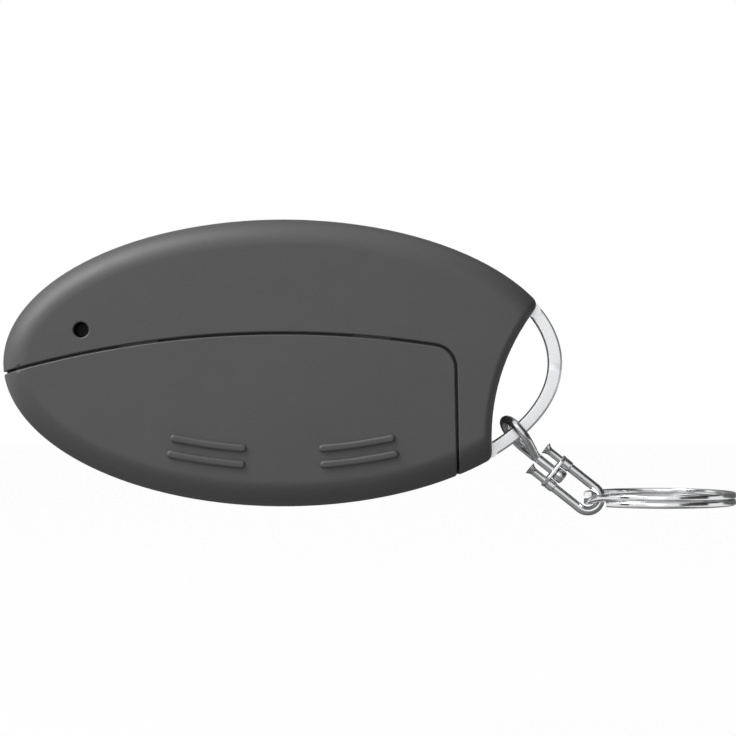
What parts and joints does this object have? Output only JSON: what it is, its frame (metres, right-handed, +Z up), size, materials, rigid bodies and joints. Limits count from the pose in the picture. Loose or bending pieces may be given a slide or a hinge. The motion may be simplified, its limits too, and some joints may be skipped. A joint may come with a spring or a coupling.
{
  "type": "key fob transmitter",
  "caption": "Oval remote key fob with four keys, a slide-off battery cover, and a swivel chain with a split ring.",
  "frame": {"origin": "centre of the oval case, on the plane where the two halves of the case meet", "axes": "+X along the fob towards the key ring, +Z up across the oval, rear face to -Y, keys to +Y"},
  "size_m": [0.0963, 0.02, 0.039],
  "materials": {
    "charcoal_case": "matte",
    "grey_key": "satin",
    "satin_bow": "satin",
    "bright_chain": "polished",
    "green_board": "satin",
    "black_parts": "matte",
    "switch_stem": "satin",
    "steel_parts": "satin",
    "spring_contact": "satin",
    "copper_track": "satin",
    "clear_light": "gloss",
    "lamp": "satin"
  },
  "bodies": {
    "housing": {"back_shell": "charcoal_case", "front_shell": "charcoal_case", "key_loop": "satin_bow", "circuit_board": "green_board", "key_switch_bodies": "black_parts", "learn_switch_body": "black_parts", "light_guide": "clear_light", "status_lamp": "lamp", "control_chip": "black_parts", "crystal_can": "steel_parts", "radio_filter_can": "steel_parts", "antenna_track": "copper_track", "coin_cell": "steel_parts", "minus_contact": "spring_contact", "plus_contact": "spring_contact", "case_screws": "steel_parts"},
    "cover": {"battery_cover": "charcoal_case"},
    "learn_button": {"learn_switch_stem": "black_parts"},
    "key_upper_left_body": {"key_upper_left": "grey_key", "switch_stem_upper_left": "switch_stem"},
    "key_upper_right_body": {"key_upper_right": "grey_key", "switch_stem_upper_right": "switch_stem"},
    "key_lower_left_body": {"key_lower_left": "grey_key", "switch_stem_lower_left": "switch_stem"},
    "key_lower_right_body": {"key_lower_right": "grey_key", "switch_stem_lower_right": "switch_stem"},
    "eye": {"eye_link": "bright_chain"},
    "swivel": {"saddle_plate": "bright_chain", "ring_link": "bright_chain"},
    "ring": {"split_ring": "bright_chain"}
  },
  "joints": [
    {"name": "cover_slide", "type": "slide", "parent": "housing", "child": "cover", "axis": [0, 0, -1], "range_m": [0, 0.018]},
    {"name": "learn_press", "type": "slide", "parent": "housing", "child": "learn_button", "axis": [0, 1, 0], "range_m": [0, 0.00025], "stiffness_N_per_m": 600, "springref_m": -0.0005},
    {"name": "press_upper_left", "type": "slide", "parent": "housing", "child": "key_upper_left_body", "axis": [0, -1, 0], "range_m": [0, 0.0004], "stiffness_N_per_m": 500, "springref_m": -0.0006},
    {"name": "press_upper_right", "type": "slide", "parent": "housing", "child": "key_upper_right_body", "axis": [0, -1, 0], "range_m": [0, 0.0004], "stiffness_N_per_m": 500, "springref_m": -0.0006},
    {"name": "press_lower_left", "type": "slide", "parent": "housing", "child": "key_lower_left_body", "axis": [0, -1, 0], "range_m": [0, 0.0004], "stiffness_N_per_m": 500, "springref_m": -0.0006},
    {"name": "press_lower_right", "type": "slide", "parent": "housing", "child": "key_lower_right_body", "axis": [0, -1, 0], "range_m": [0, 0.0004], "stiffness_N_per_m": 500, "springref_m": -0.0006},
    {"name": "eye_swing", "type": "hinge", "parent": "housing", "child": "eye", "pos_m": [0.03058, 0, -0.00925], "axis": [0.7716, 0, 0.6361], "range_deg": [-60, 60]},
    {"name": "chain_swivel", "type": "hinge", "parent": "eye", "child": "swivel", "pos_m": [0.03561, 0, -0.01427], "axis": [0.7826, 0, -0.6225], "continuous": true},
    {"name": "ring_swing", "type": "hinge", "parent": "swivel", "child": "ring", "pos_m": [0.04011, 0, -0.01785], "axis": [0, 1, 0], "range_deg": [-25, 110]}
  ]
}
